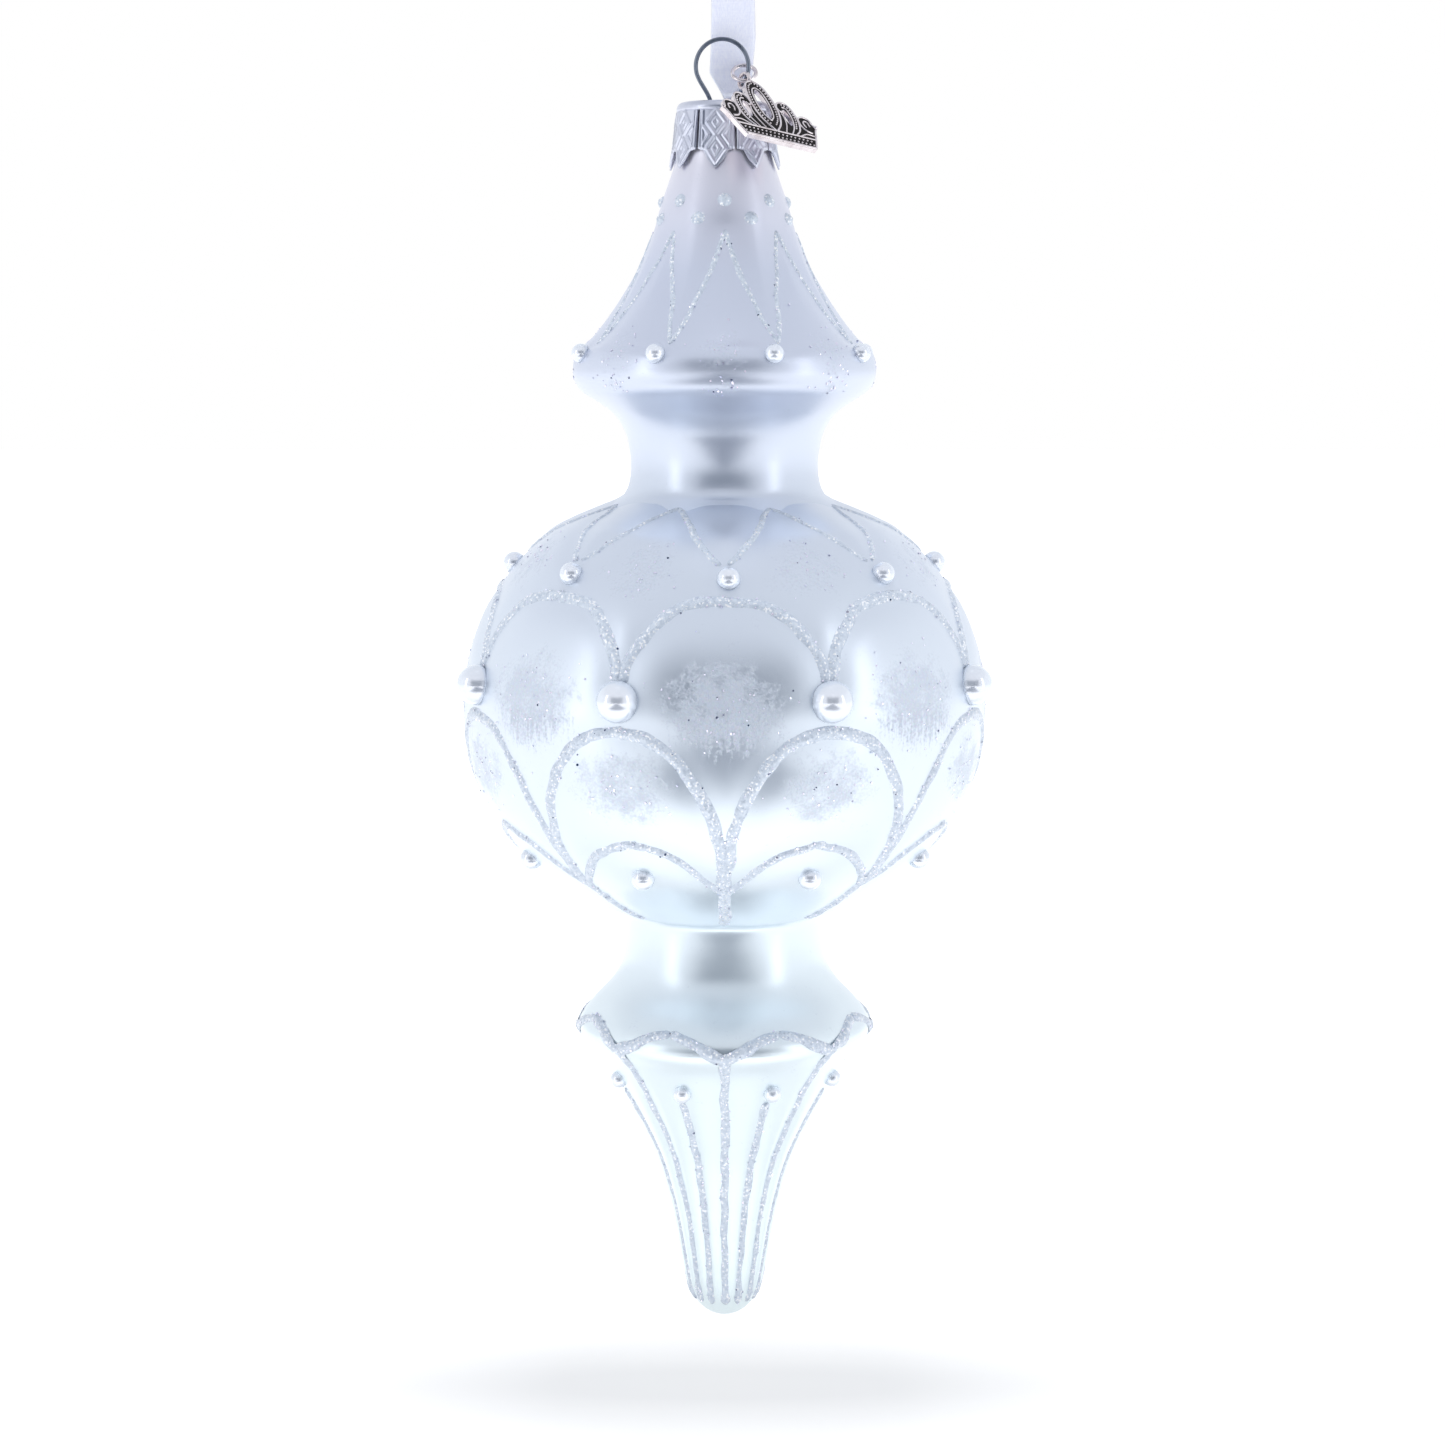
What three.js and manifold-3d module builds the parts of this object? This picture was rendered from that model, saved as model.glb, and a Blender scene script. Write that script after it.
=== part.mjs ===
// A blown glass icicle ornament: a cone, a ball and a fluted drop in one glass body, half pearls
// glued on in five rows, a stamped metal cap with a spring wire hanger, a crown charm on a jump
// ring, and the ribbon loop that the ornament hangs from.
// Millimetres, +Z up, -Y is the front. Heights are measured from the glass tip, and the origin is
// the middle of the ribbon's knot, which is what holds the ornament up.
import * as THREE from "three";
import { mergeVertices } from "three/addons/utils/BufferGeometryUtils.js";
import Module from "manifold-3d";

const wasm = await Module();
wasm.setup();

// Driving dimensions
const knotHeight = 205;
const glassWall = 1.0;
const glassSides = 36;
const pearlGap = 0.25;
const pearlsInRow = 8;
const capTop = 181.1;
const capThickness = 0.35;
const tabs = 8;
const tabTurn = -9.8;
const wireRadius = 0.4;
const eyeRadius = 3.8;
const eyeLean = 12;
const legHole = 1.9;
const legHoleRadius = 0.75;
const ribbonWidth = 6.35;
const ribbonThickness = 0.3;
const charmThickness = 0.9;
const charmHeight = 13.0;
const charmHalfBase = 6.45;
const bailRadius = 1.1;
const jumpRingRadius = 1.7;
const jumpRingTilt = 45;
const ringWire = 0.3;

// The outside of the glass as [radius, height above the tip], from the tip to the mouth.
const dropStations = [
  [0, 0], [2.3, 0.5], [4.5, 2.5], [5.9, 6], [6.8, 11], [8.0, 16.8], [9.8, 23.5], [12.6, 29.9],
  [16.3, 36.8], [19.3, 41.6], [21.6, 43.9], [22.0, 45.3], [21.1, 47.4], [18.1, 50.5],
  [15.8, 53.4], [14.8, 56.9], [14.45, 60], [14.6, 62.4],
];
const ballStations = [
  [14.6, 62.4], [18.3, 63.8], [24.1, 67.2], [31.2, 73], [36.5, 81.5], [38.6, 91.5],
  [37.6, 101.5], [33.6, 110.8], [27.2, 118.2], [22.4, 121.2], [18.2, 122.9], [15.2, 124.2],
];
const coneStations = [
  [15.2, 124.2], [14.2, 125.6], [13.75, 128.4], [14.1, 131.8], [15.2, 135], [17.6, 137.5],
  [20.6, 139.2], [22.0, 141.2], [22.1, 143.8], [21.3, 145.7], [19.5, 147.2], [17.4, 149.8],
  [14.6, 154], [12.1, 158.8], [10.3, 163.5], [8.8, 167.8], [7.6, 171.2], [7.1, 172.8],
  [6.7, 174.4],
];
const mouthStations = [[6.25, 176.8], [6.2, 180.3]];

// Rows of half pearls: name, radius, height, and the turn of the row's first pearl in degrees.
const pearlRows = [
  { name: "cone_pearl", radius: 1.4, height: 145.0, turn: 18.5 },
  { name: "upper_ball_pearl", radius: 1.65, height: 114.0, turn: 1 },
  { name: "middle_ball_pearl", radius: 2.95, height: 97.2, turn: 22.5 },
  { name: "lower_ball_pearl", radius: 1.65, height: 72.0, turn: 23 },
  { name: "drop_pearl", radius: 1.3, height: 38.5, turn: 24 },
];

const paint = (color, roughness, metalness) =>
  new THREE.MeshStandardMaterial({ color, roughness, metalness });
const materials = {
  glass: paint(0xdfe3f2, 0.35, 0.5),
  pearl: paint(0xeceef6, 0.2, 0.1),
  tin: paint(0xc9cbd2, 0.4, 0.9),
  wire: paint(0x70757d, 0.4, 0.9),
  charm: paint(0xa79fa4, 0.35, 0.9),
  ribbon: paint(0xe9ebfa, 0.6, 0),
};

const radians = THREE.MathUtils.degToRad;
const point = (x, y, z) => new THREE.Vector3(x, y, z);

// A closed mesh with shared corners, no empty triangles, and its faces pointing out.
function closed(geometry) {
  const bare = geometry.clone();
  bare.deleteAttribute("normal");
  bare.deleteAttribute("uv");
  const merged = mergeVertices(bare, 1e-4);
  const corners = merged.index.array;
  const place = merged.attributes.position;
  const [a, b, c] = [point(), point(), point()];
  const kept = [];
  let volume = 0;
  for (let i = 0; i < corners.length; i += 3) {
    const [p, q, r] = corners.slice(i, i + 3);
    if (p !== q && q !== r && p !== r) {
      kept.push(p, q, r);
      a.fromBufferAttribute(place, p);
      b.fromBufferAttribute(place, q);
      c.fromBufferAttribute(place, r);
      volume += a.dot(b.cross(c));
    }
  }
  merged.setIndex(volume < 0 ? kept.reverse() : kept);
  return merged;
}

function toSolid(geometry) {
  const mesh = closed(geometry);
  return new wasm.Manifold(
    new wasm.Mesh({
      numProp: 3,
      vertProperties: new Float32Array(mesh.attributes.position.array),
      triVerts: new Uint32Array(mesh.index.array),
    }),
  );
}

function fromSolid(solid) {
  const mesh = solid.getMesh();
  const geometry = new THREE.BufferGeometry();
  geometry.setAttribute("position", new THREE.BufferAttribute(mesh.vertProperties, 3));
  geometry.setIndex(new THREE.BufferAttribute(mesh.triVerts, 1));
  return geometry;
}

const cut = (body, tools) => tools.reduce((left, tool) => left.subtract(toSolid(tool)), body);

// A profile of [radius, height] turned round the Z axis.
function turned(profile, sides) {
  const outline = profile.map(([radius, height]) => new THREE.Vector2(radius, height));
  return new THREE.LatheGeometry(outline, sides).rotateX(Math.PI / 2);
}

function spline(stations, steps) {
  const curve = new THREE.SplineCurve(stations.map(([r, h]) => new THREE.Vector2(r, h)));
  return curve.getPoints(steps).map((p) => [Math.max(p.x, 0), p.y]);
}

const glassOutline = [
  ...spline(dropStations, 19),
  ...spline(ballStations, 16).slice(1),
  ...spline(coneStations, 20).slice(1),
  ...mouthStations,
];

// The outline's radius at a height, and how far the surface leans away from upright there.
function surfaceAt(height) {
  const after = glassOutline.findIndex(([, h]) => h >= height);
  const [r0, h0] = glassOutline[after - 1];
  const [r1, h1] = glassOutline[after];
  const radius = THREE.MathUtils.mapLinear(height, h0, h1, r0, r1);
  return { radius, lean: Math.atan2(r0 - r1, h1 - h0) };
}

// The glass shell: its outside, its open mouth, and its inside one wall in from the outside.
function glassBody() {
  const inside = [];
  for (let i = 2; i < glassOutline.length - 2; i += 2) {
    const [r0, h0] = glassOutline[i - 1];
    const [r1, h1] = glassOutline[i + 1];
    const length = Math.hypot(r1 - r0, h1 - h0);
    const [radius, height] = glassOutline[i];
    const inward = (glassWall * (h1 - h0)) / length;
    inside.unshift([radius - inward, height + (glassWall * (r1 - r0)) / length]);
  }
  const mouth = mouthStations.map(([radius, height]) => [radius - glassWall, height]).reverse();
  return turned([...glassOutline, ...mouth, ...inside, [0, 1.6 * glassWall]], glassSides);
}

// A flat-backed half dome, its axis along the surface normal.
function halfPearl(row, index) {
  const { radius, lean } = surfaceAt(row.height);
  const steps = row.radius > 2 ? 4 : 3;
  const profile = [[0, 0]];
  for (let i = 0; i <= steps; i += 1) {
    const angle = (i / steps) * (Math.PI / 2);
    profile.push([row.radius * Math.cos(angle), row.radius * Math.sin(angle)]);
  }
  profile[profile.length - 1][0] = 0;
  const turn = radians(row.turn + (index * 360) / pearlsInRow);
  const dome = turned(profile, row.radius > 2 ? 12 : 10);
  dome.rotateX(Math.PI / 2 - lean);
  dome.translate(0, -radius - pearlGap * Math.cos(lean), row.height + pearlGap * Math.sin(lean));
  return dome.rotateZ(turn);
}

// One gap between two of the cap's tabs: a slit that opens into the notch between their points.
function tabGap(index) {
  const side = [[0.17, 179.6], [0.17, 174.2], [1.25, 173.9], [3.4, 170.9], [3.4, 170]];
  const corners = [...side, ...side.map(([across, up]) => [-across, up]).reverse()];
  const shape = new THREE.Shape(corners.map(([across, up]) => new THREE.Vector2(across, up)));
  const depth = 6;
  const gap = new THREE.ExtrudeGeometry(shape, { depth, bevelEnabled: false });
  gap.rotateX(Math.PI / 2);
  gap.translate(0, -3.6, 0);
  return gap.rotateZ(radians(tabTurn + (index + 0.5) * (360 / tabs)));
}

// The stamped cap: a flat top with a rounded shoulder, and a skirt cut into pointed tabs.
function metalCap() {
  const shoulder = 1.0;
  const top = 6.95;
  const outside = [[0, capTop]];
  for (let i = 0; i <= 3; i += 1) {
    const angle = (i / 3) * (Math.PI / 2);
    outside.push([
      top - shoulder + shoulder * Math.sin(angle),
      capTop - shoulder + shoulder * Math.cos(angle),
    ]);
  }
  outside.push([7.6, 174.2], [8.2, 171.5]);
  const inside = [
    [8.2 - capThickness, 171.5], [7.6 - capThickness, 174.3], [top - capThickness, 180.1],
    [top - shoulder, capTop - capThickness], [0, capTop - capThickness],
  ];
  const gaps = Array.from({ length: tabs }, (_, index) => tabGap(index));
  const holes = [-legHole, legHole].map((x) =>
    new THREE.CylinderGeometry(legHoleRadius, legHoleRadius, 2, 12)
      .rotateX(Math.PI / 2)
      .translate(x, 0, capTop),
  );
  return fromSolid(cut(toSolid(turned([...outside, ...inside], 40)), [...gaps, ...holes]));
}

function roundSection(radius, sides) {
  const corners = [];
  for (let i = 0; i < sides; i += 1) {
    const angle = (i / sides) * 2 * Math.PI;
    corners.push(new THREE.Vector2(radius * Math.cos(angle), radius * Math.sin(angle)));
  }
  return new THREE.Shape(corners);
}

// The spring wire: an eye above the cap, leaning forward, and two legs that splay in the neck.
function wireHanger() {
  const eyeCentre = { x: -0.35, up: 5.1 };
  const lean = Math.tan(radians(eyeLean));
  const eye = [];
  for (let degrees = 208; degrees >= -19; degrees -= 18.9) {
    const up = eyeCentre.up + eyeRadius * Math.sin(radians(degrees));
    const x = eyeCentre.x + eyeRadius * Math.cos(radians(degrees));
    eye.push(point(x, -up * lean, capTop + up));
  }
  const leg = (side) => [
    point(side * 4.5, 0, 163.6), point(side * 3.4, 0, 170), point(side * 2.4, 0, 176),
    point(side * legHole, 0, capTop - 0.3),
  ];
  const path = new THREE.CatmullRomCurve3([...leg(-1), ...eye, ...leg(1).reverse()]);
  const section = roundSection(wireRadius, 8);
  return new THREE.ExtrudeGeometry(section, { steps: 72, extrudePath: path, bevelEnabled: false });
}

// The charm's own frame: across, up its face, and out of its face, with its peak at charmPeak.
const charmAcross = point(0.78, 0.609, -0.139).normalize();
const charmOut = charmAcross.clone().cross(point(-0.349, 0.609, 0.712)).normalize();
const charmUp = charmOut.clone().cross(charmAcross);
const charmPeak = point(3.83, -3.1, 184.3);
const charmFrame = new THREE.Matrix4()
  .makeBasis(charmAcross, charmUp, charmOut)
  .setPosition(charmPeak.clone().addScaledVector(charmUp, -charmHeight));
const bailCentre = point(0, charmHeight + 0.95, -1.3);

// Half of the crown's edge, from the middle of its base round its lobes to its peak.
function crownEdge() {
  const side = [[charmHalfBase, 0], [8.3, 4.3], [8.85, 5.1], [8.3, 5.6]];
  const smallLobe = [[8.3, 5.6], [7.9, 6.7], [6.8, 7.1], [5.8, 6.6], [5.5, 5.8]];
  const curlLobe = [[5.5, 5.8], [5.5, 7.6], [4.9, 9.0], [3.8, 9.4], [2.8, 8.9], [2.3, 8.0]];
  const centreLobe = [[2.3, 8.0], [2.2, 10.0], [1.5, 12.0], [0, charmHeight]];
  return [
    ...side,
    ...spline(smallLobe, 5).slice(1),
    ...spline(curlLobe, 7).slice(1),
    ...spline(centreLobe, 6).slice(1),
  ];
}

function ovalHole(x, y, halfWidth, halfHeight) {
  const hole = new THREE.Path();
  hole.absellipse(x, y, halfWidth, halfHeight, 0, 2 * Math.PI);
  return hole;
}

// The crown: a flat pierced plate with a bail soldered behind its peak.
function crownCharm() {
  const right = crownEdge();
  const left = right.slice(0, -1).map(([x, y]) => [-x, y]).reverse();
  const outline = new THREE.Shape([...right, ...left].map(([x, y]) => new THREE.Vector2(x, y)));
  outline.holes.push(
    ovalHole(0, 8, 1.0, 3.0), ovalHole(3.9, 6.2, 0.75, 1.4), ovalHole(-3.9, 6.2, 0.75, 1.4),
  );
  const options = { depth: charmThickness, bevelEnabled: false, curveSegments: 6 };
  const plate = new THREE.ExtrudeGeometry(outline, options).translate(0, 0, -charmThickness);
  const bail = new THREE.TorusGeometry(bailRadius, ringWire, 8, 18)
    .rotateY(Math.PI / 2)
    .translate(bailCentre.x, bailCentre.y, bailCentre.z);
  return fromSolid(toSolid(plate).add(toSolid(bail))).applyMatrix4(charmFrame);
}

// The jump ring: its front bottom point lies in the bail, and its back goes behind the wire.
function jumpRing() {
  const tilt = radians(jumpRingTilt);
  const centre = bailCentre.clone().applyMatrix4(charmFrame);
  centre.y += jumpRingRadius * Math.cos(tilt);
  centre.z += jumpRingRadius * Math.sin(tilt);
  return new THREE.TorusGeometry(jumpRingRadius, ringWire, 8, 24)
    .rotateX(tilt)
    .translate(centre.x, centre.y, centre.z);
}

// The ribbon's route: down from the knot, behind the eye, round its right leg and back up.
const ribbonRoute = [
  [0.3, -0.9, 202.1], [0.6, -1.0, 200], [1.2, -0.7, 196], [1.2, 0.4, 191.5], [1.1, 1.5, 188],
  [0.95, 1.95, 185.5], [0.7, 1.6, 183.7], [0.6, 0.6, 182.2], [0.8, -0.6, 181.9],
  [1.7, -1.5, 181.9], [2.9, -1.35, 181.9], [3.6, -0.4, 181.95], [3.6, 0.8, 182.4],
  [3.1, 2.3, 184.2], [2.3, 3.2, 187], [1.5, 2.9, 191.5], [1.2, 1.8, 196], [0.7, 1.2, 200],
  [0.3, 0.9, 202.1],
];

// How wide and how thick the ribbon is at a height: it is gathered at the knot and at the wire.
function gather(height) {
  const atWire = THREE.MathUtils.smoothstep(height, 182.3, 187.5);
  const atKnot = 1 - THREE.MathUtils.smoothstep(height, 196, 202);
  const open = Math.min(atWire, atKnot);
  const narrow = height < 190 ? 0.9 : 2.4;
  return {
    width: THREE.MathUtils.lerp(narrow, ribbonWidth, open),
    thickness: THREE.MathUtils.lerp(0.8, ribbonThickness, open),
  };
}

// The ribbon as a strip that keeps its width across the front as it goes round its loop.
function ribbonLoop() {
  const steps = 70;
  const sides = 8;
  const path = new THREE.CatmullRomCurve3(ribbonRoute.map(([x, y, z]) => point(x, y, z)));
  const across = point(1, 0, 0);
  const corners = [];
  for (let i = 0; i <= steps; i += 1) {
    const middle = path.getPointAt(i / steps);
    const along = path.getTangentAt(i / steps);
    across.addScaledVector(along, -across.dot(along)).normalize();
    const outward = across.clone().cross(along);
    const { width, thickness } = gather(middle.z);
    for (let k = 0; k < sides; k += 1) {
      const angle = ((k + 0.5) / sides) * 2 * Math.PI;
      const corner = middle.clone();
      corner.addScaledVector(across, (width / 2) * Math.cos(angle) / Math.cos(Math.PI / sides));
      corner.addScaledVector(outward, (thickness / 2) * Math.sin(angle));
      corners.push(...corner.toArray());
    }
  }
  const faces = [];
  const last = steps * sides;
  for (let k = 0; k < sides; k += 1) {
    const next = (k + 1) % sides;
    for (let ring = 0; ring < last; ring += sides) {
      faces.push(ring + k, ring + next, ring + sides + k);
      faces.push(ring + next, ring + sides + next, ring + sides + k);
    }
    if (k > 0 && k < sides - 1) {
      faces.push(0, k + 1, k, last, last + k, last + k + 1);
    }
  }
  const geometry = new THREE.BufferGeometry();
  geometry.setAttribute("position", new THREE.Float32BufferAttribute(corners, 3));
  geometry.setIndex(faces);
  return geometry;
}

// The knot that joins the ribbon's two ends, with its two short tails standing up.
function ribbonKnot() {
  const lump = new THREE.SphereGeometry(1, 16, 10).scale(3.1, 2.2, 2.4);
  const tail = new THREE.Shape([
    new THREE.Vector2(-1.2, 0), new THREE.Vector2(1.2, 0), new THREE.Vector2(3.0, 4.5),
    new THREE.Vector2(2.4, 8), new THREE.Vector2(-3.0, 6.8), new THREE.Vector2(-2.4, 4.5),
  ]);
  const tails = [-1, 1].map((side) =>
    new THREE.ExtrudeGeometry(tail, { depth: ribbonThickness, bevelEnabled: false })
      .rotateX(Math.PI / 2 - side * 0.25)
      .rotateY(side * 0.3)
      .translate(side * 0.6, side * 0.5, 1.2),
  );
  const whole = tails.reduce((joined, strip) => joined.add(toSolid(strip)), toSolid(lump));
  return fromSolid(whole).translate(0, 0, knotHeight);
}

const ornament = new THREE.Group();
ornament.name = "icicle_ornament";
ornament.position.z = -knotHeight;

function addPart(name, geometry, material) {
  const mesh = new THREE.Mesh(closed(geometry), material);
  mesh.name = name;
  ornament.add(mesh);
}

addPart("ribbon_knot", ribbonKnot(), materials.ribbon);
addPart("ribbon_loop", ribbonLoop(), materials.ribbon);
addPart("wire_hanger", wireHanger(), materials.wire);
addPart("metal_cap", metalCap(), materials.tin);
addPart("glass_body", glassBody(), materials.glass);
addPart("jump_ring", jumpRing(), materials.charm);
addPart("crown_charm", crownCharm(), materials.charm);
for (const row of pearlRows) {
  for (let index = 0; index < pearlsInRow; index += 1) {
    addPart(`${row.name}_${index + 1}`, halfPearl(row, index), materials.pearl);
  }
}

const model = new THREE.Group();
model.add(ornament);
export default model;
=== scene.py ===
# The looks of the icicle ornament: silvered and lacquered glass with frosted patches and raised
# glitter lines, half pearls, a stamped cap on a spring wire, a cast crown charm and a satin ribbon.
# Lengths are written in millimetres and turned into metres by MM. Heights are above the glass tip,
# and a turn is in degrees round the axis from the front (-Y) towards +X.
import math
import random

import bpy
import numpy as np
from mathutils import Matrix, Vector, noise
from mathutils.kdtree import KDTree


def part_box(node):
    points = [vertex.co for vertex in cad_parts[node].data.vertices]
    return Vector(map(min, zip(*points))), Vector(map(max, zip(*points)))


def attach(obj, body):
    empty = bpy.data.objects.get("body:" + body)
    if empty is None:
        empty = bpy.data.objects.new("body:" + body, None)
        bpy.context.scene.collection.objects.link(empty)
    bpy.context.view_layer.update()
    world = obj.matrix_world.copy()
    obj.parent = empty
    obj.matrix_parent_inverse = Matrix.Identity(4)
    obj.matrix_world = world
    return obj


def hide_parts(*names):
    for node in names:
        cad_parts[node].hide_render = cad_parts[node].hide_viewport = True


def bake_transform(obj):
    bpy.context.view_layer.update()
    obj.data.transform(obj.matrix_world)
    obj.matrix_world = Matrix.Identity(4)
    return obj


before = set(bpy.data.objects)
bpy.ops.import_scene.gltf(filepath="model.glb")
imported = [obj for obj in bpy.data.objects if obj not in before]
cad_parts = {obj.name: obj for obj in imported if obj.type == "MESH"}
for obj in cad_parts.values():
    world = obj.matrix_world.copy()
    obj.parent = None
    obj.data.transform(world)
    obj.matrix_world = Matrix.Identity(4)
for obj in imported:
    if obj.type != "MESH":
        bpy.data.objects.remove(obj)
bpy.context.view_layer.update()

MM = 0.001
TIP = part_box("glass_body")[0].z
SECTORS = 8
SECTOR = 360 / SECTORS
scene = bpy.context.scene

# ---- camera
LENS = 74.74
SENSOR = 36
CAMERA_AT = (-0.0003, -0.4425, TIP + 0.14675)
CAMERA_DIP = 7.23


def add_object(name, data):
    thing = bpy.data.objects.new(name, data)
    scene.collection.objects.link(thing)
    return thing


def add_camera():
    data = bpy.data.cameras.new("camera")
    data.lens = LENS
    data.sensor_width = SENSOR
    data.clip_start = 0.01
    camera = add_object("camera", data)
    camera.location = CAMERA_AT
    camera.rotation_euler = (math.radians(90 - CAMERA_DIP), 0, 0)
    scene.camera = camera


add_camera()


# ---- mesh helpers
def above_tip(x, y, height):
    return Vector((x * MM, y * MM, TIP + height * MM))


def smoothstep(value, low, high):
    share = min(max((value - low) / (high - low), 0), 1)
    return share * share * (3 - 2 * share)


def curve_through(points, steps):
    """Points on a Catmull-Rom curve through the given ones, with steps between each two."""
    points = [Vector(p) for p in points]
    ends = [2 * points[0] - points[1]] + points + [2 * points[-1] - points[-2]]
    line = []
    for a, b, c, d in zip(ends, ends[1:], ends[2:], ends[3:]):
        for i in range(steps):
            t = i / steps
            line.append(
                0.5 * (2 * b + (c - a) * t + (2 * a - 5 * b + 4 * c - d) * t**2
                       + (3 * b - a - 3 * c + d) * t**3)
            )
    return line + [points[-1]]


def spaced(line, step):
    """The same line with its points a step apart."""
    lengths = [0]
    for a, b in zip(line, line[1:]):
        lengths.append(lengths[-1] + (b - a).length)
    count = max(int(lengths[-1] / step), 2)
    out = []
    k = 0
    for i in range(count + 1):
        want = lengths[-1] * i / count
        while k < len(line) - 2 and lengths[k + 1] < want:
            k += 1
        gap = max(lengths[k + 1] - lengths[k], 1e-12)
        out.append(line[k].lerp(line[k + 1], (want - lengths[k]) / gap))
    return out


def new_mesh(name, vertices, faces):
    mesh = bpy.data.meshes.new(name)
    mesh.from_pydata([tuple(v) for v in vertices], [], faces)
    return mesh


def finished_mesh(thing):
    """The mesh that a curve or an object with modifiers comes to."""
    bpy.context.view_layer.update()
    graph = bpy.context.evaluated_depsgraph_get()
    return bpy.data.meshes.new_from_object(thing.evaluated_get(graph))


def new_piece(name, vertices, faces, material, body, slot, smooth=True):
    """A mesh that rides on a body, or on none."""
    mesh = new_mesh(name, vertices, faces)
    mesh.validate()
    mesh.update()
    mesh.polygons.foreach_set("use_smooth", [smooth] * len(mesh.polygons))
    piece = add_object(name, mesh)
    mesh.materials.append(material)
    if body is not None:
        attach(piece, body)
    return piece


def rings_to_faces(rings, sides, start=0, closed=False):
    """Quads between rings of the same number of points, with both ends closed by one face."""
    faces = []
    for ring in range(rings if closed else rings - 1):
        a = start + ring * sides
        b = start + ((ring + 1) % rings) * sides
        for k in range(sides):
            n = (k + 1) % sides
            faces.append((a + k, a + n, b + n, b + k))
    if not closed:
        faces.append(tuple(reversed(range(start, start + sides))))
        faces.append(tuple(range(start + (rings - 1) * sides, start + rings * sides)))
    return faces


def sweep(line, section, across=Vector((1, 0, 0)), closed=False):
    """Vertices and faces of a section carried along a line. section(i) gives (side, up) pairs."""
    vertices = []
    side = across.copy()
    count = len(line)
    for i, middle in enumerate(line):
        before = line[i - 1] if i or closed else line[0]
        after = line[(i + 1) % count] if i < count - 1 or closed else line[-1]
        along = (after - before).normalized()
        side = (side - along * side.dot(along)).normalized()
        up = side.cross(along)
        outline = section(i)
        vertices += [middle + side * a + up * b for a, b in outline]
    return vertices, rings_to_faces(count, len(outline), closed=closed)


def turns_round(count):
    return [2 * math.pi * k / count for k in range(count)]


def round_section(radius, sides):
    return [(radius * math.cos(a), radius * math.sin(a)) for a in turns_round(sides)]


class Gathered:
    """Several shapes put into one mesh."""

    def __init__(self):
        self.vertices = []
        self.faces = []

    def add(self, vertices, faces):
        start = len(self.vertices)
        self.vertices += list(vertices)
        self.faces += [tuple(start + k for k in face) for face in faces]


# ---- material helpers
def srgb(red, green, blue):
    def linear(value):
        value /= 255
        return value / 12.92 if value <= 0.04045 else ((value + 0.055) / 1.055) ** 2.4

    return (linear(red), linear(green), linear(blue), 1)


class Nodes:
    """The nodes of a material or a world, added by name and joined by their sockets."""

    def __init__(self, owner):
        owner.use_nodes = True
        self.owner = owner
        self.tree = owner.node_tree
        self.coordinates = self.add("ShaderNodeTexCoord").outputs
        self.place = self.coordinates["Object"]

    def add(self, kind, inputs=None, **settings):
        node = self.tree.nodes.new(kind)
        for key, value in settings.items():
            setattr(node, key, value)
        for key, value in (inputs or {}).items():
            self.feed(value, node.inputs[key])
        return node

    def feed(self, value, socket):
        if isinstance(value, bpy.types.NodeSocket):
            self.tree.links.new(value, socket)
        else:
            socket.default_value = value

    def split(self, vector):
        return self.add("ShaderNodeSeparateXYZ", {"Vector": vector}).outputs

    def set(self, **values):
        shader = self.tree.nodes["Principled BSDF"]
        for key, value in values.items():
            self.feed(value, shader.inputs[key.replace("_", " ")])

    def maths(self, operation, a, b=0.0, c=0.0, clamp=False):
        node = self.add("ShaderNodeMath", {0: a, 1: b, 2: c}, operation=operation)
        node.use_clamp = clamp
        return node.outputs[0]

    def length(self, vector):
        return self.add("ShaderNodeVectorMath", {0: vector}, operation="LENGTH").outputs["Value"]

    def noise(self, scale, detail=3.0, stretch=(1, 1, 1)):
        at = self.add("ShaderNodeMapping", {"Vector": self.place, "Scale": stretch})
        node = self.add(
            "ShaderNodeTexNoise",
            {"Vector": at.outputs[0], "Scale": scale, "Detail": detail},
        )
        return node.outputs["Fac"]

    def cells(self, scale):
        node = self.add("ShaderNodeTexVoronoi", {"Vector": self.place, "Scale": scale})
        return node.outputs["Color"]

    def range(self, value, low, high, to_low=0.0, to_high=1.0, **settings):
        node = self.add(
            "ShaderNodeMapRange",
            {"Value": value, "From Min": low, "From Max": high, "To Min": to_low, "To Max": to_high},
            **settings,
        )
        return node.outputs["Result"]

    def mix(self, share, a, b):
        node = self.add("ShaderNodeMix", data_type="RGBA")
        self.feed(share, node.inputs["Factor"])
        self.feed(a, node.inputs["A"])
        self.feed(b, node.inputs["B"])
        return node.outputs["Result"]

    def uneven(self, scale, low, high, detail=3.0):
        """A number that varies with noise from low to high."""
        return self.range(self.noise(scale, detail), 0.3, 0.7, low, high)

    def bump(self, height, distance, strength=1.0, normal=None):
        inputs = {"Height": height, "Distance": distance, "Strength": strength}
        if normal is not None:
            inputs["Normal"] = normal
        return self.add("ShaderNodeBump", inputs).outputs["Normal"]

    def facets(self, scale, tilt):
        """A normal that leans a different way in each small cell, as loose glitter does."""
        lean = self.add("ShaderNodeVectorMath", {0: self.cells(scale), 1: (-0.5, -0.5, -0.5)})
        longer = self.add("ShaderNodeVectorMath", {0: lean.outputs[0]}, operation="SCALE")
        self.feed(tilt, longer.inputs["Scale"])
        normal = self.add("ShaderNodeNewGeometry").outputs["Normal"]
        total = self.add("ShaderNodeVectorMath", {0: normal, 1: longer.outputs[0]})
        unit = self.add("ShaderNodeVectorMath", {0: total.outputs[0]}, operation="NORMALIZE")
        return unit.outputs[0]


# ---- materials
def new_material(name):
    return Nodes(bpy.data.materials.new(name))


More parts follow.
